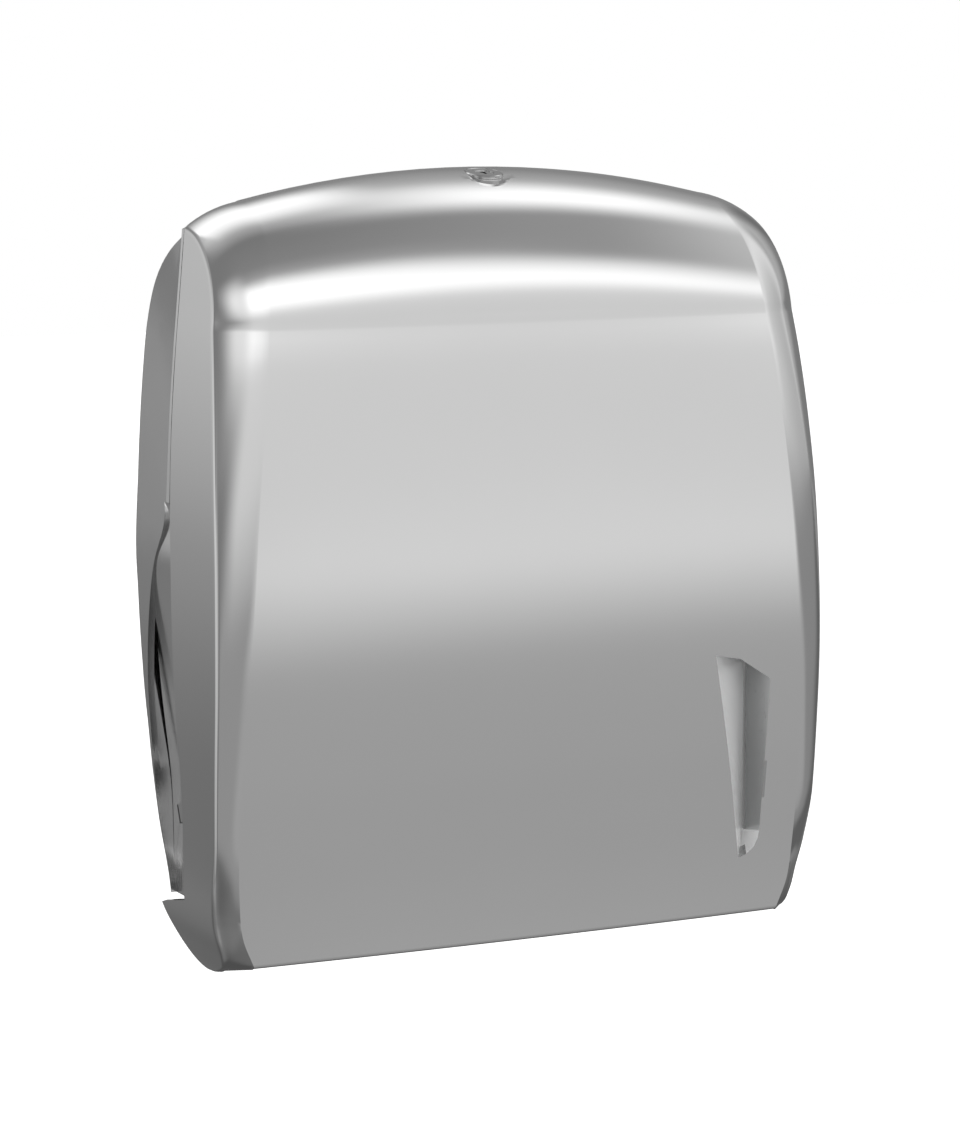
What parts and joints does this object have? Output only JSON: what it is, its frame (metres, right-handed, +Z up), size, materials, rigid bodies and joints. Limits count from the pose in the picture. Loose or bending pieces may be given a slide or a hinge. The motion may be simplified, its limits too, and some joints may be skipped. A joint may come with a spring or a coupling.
{
  "type": "folded paper towel dispenser",
  "caption": "Slim wall-hung dispenser for folded paper towels: a cover hinged at the foot, with a key lock in its top and a level window in a recess, over a rear casing with a towel tray.",
  "frame": {"origin": "middle of the four wall screws, on the wall face", "axes": "+X right as seen from the front, +Y into the wall, +Z up"},
  "size_m": [0.284, 0.1023, 0.3311],
  "materials": {
    "cover_plastic": "satin silver, metallised",
    "casing_plastic": "satin silver, metallised",
    "tray_plastic": "fine grained",
    "window_smoke": "clear smoked, polished",
    "sheet_steel": "zinc plated",
    "screw_steel": "zinc plated",
    "pin_steel": "ground",
    "lock_steel": "nickel plated",
    "lock_chrome": "polished",
    "bush_plastic": "moulded",
    "buffer_rubber": "moulded"
  },
  "bodies": {
    "casing": {"rear_casing": "casing_plastic", "towel_tray": "tray_plastic", "tray_screws": "screw_steel", "catch_plate": "sheet_steel", "catch_screws": "screw_steel", "hinge_pin_right": "pin_steel", "hinge_pin_left": "pin_steel", "towel_guide_right": "sheet_steel", "towel_guide_left": "sheet_steel", "guide_screws": "screw_steel", "stop_buffers": "buffer_rubber"},
    "cover": {"front_cover": "cover_plastic", "level_window": "window_smoke", "window_retainer": "tray_plastic", "window_screws": "screw_steel", "hinge_bush_right": "bush_plastic", "hinge_bush_left": "bush_plastic", "lock_barrel": "lock_chrome", "lock_washer": "lock_steel", "lock_nut": "lock_steel"},
    "lock": {"lock_plug": "lock_chrome", "lock_cam": "lock_steel", "cam_washer": "lock_steel", "cam_screw": "screw_steel"}
  },
  "joints": [
    {"name": "cover_hinge", "type": "hinge", "parent": "casing", "child": "cover", "pos_m": [0, -0.06, -0.134], "axis": [1, 0, 0], "range_deg": [0, 80]},
    {"name": "lock_turn", "type": "hinge", "parent": "cover", "child": "lock", "pos_m": [0, -0.051, 0.1516], "axis": [0, 0.1564, -0.9877], "range_deg": [0, 90]}
  ]
}
